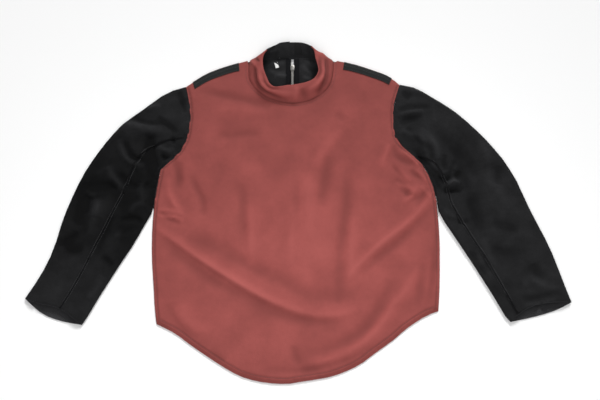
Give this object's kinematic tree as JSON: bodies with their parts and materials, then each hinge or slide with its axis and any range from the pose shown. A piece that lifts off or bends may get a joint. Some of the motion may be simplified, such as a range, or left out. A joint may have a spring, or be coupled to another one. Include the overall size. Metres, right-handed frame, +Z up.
{
  "type": "fencing jacket",
  "caption": "Fencing coach's jacket laid flat: leather front, cotton sleeves and back, standing collar, hook-and-loop strips and a centre-back zip.",
  "frame": {"origin": "centre of the footprint, on the surface that the jacket lies on", "axes": "+Z up, +X to the viewer's right across the sleeves, +Y from the hem to the collar"},
  "size_m": [1.1339, 0.763, 0.0325],
  "materials": {
    "leather": "brick-red split leather, napped and matt",
    "cotton": "black brushed cotton twill, matt",
    "hook_and_loop": "black hook-and-loop tape, fuzzy and matt",
    "tape": "black woven zip tape",
    "zip_metal": "nickel-plated zip metal, satin",
    "label": "blank white woven label"
  },
  "bodies": {
    "jacket": {"front": "leather", "back_left": "cotton", "back_right": "cotton", "sleeve_upper_left": "cotton", "sleeve_under_left": "cotton", "sleeve_upper_right": "cotton", "sleeve_under_right": "cotton", "collar_front": "leather", "collar_back_left": "cotton", "collar_back_right": "cotton", "collar_fastener": "hook_and_loop", "shoulder_strip_left": "hook_and_loop", "shoulder_strip_right": "hook_and_loop", "zip_tape_left": "tape", "zip_tape_right": "tape", "zip_chain": "zip_metal", "zip_slider": "zip_metal", "zip_bottom_stop": "zip_metal", "neck_label": "label"},
    "pull_tab": {"pull_tab": "zip_metal"}
  },
  "joints": [
    {"name": "pull_tab_hinge", "type": "hinge", "parent": "jacket", "child": "pull_tab", "pos_m": [-0.013, 0.311, 0.0024], "axis": [1, 0, 0], "range_deg": [0, 150]}
  ]
}
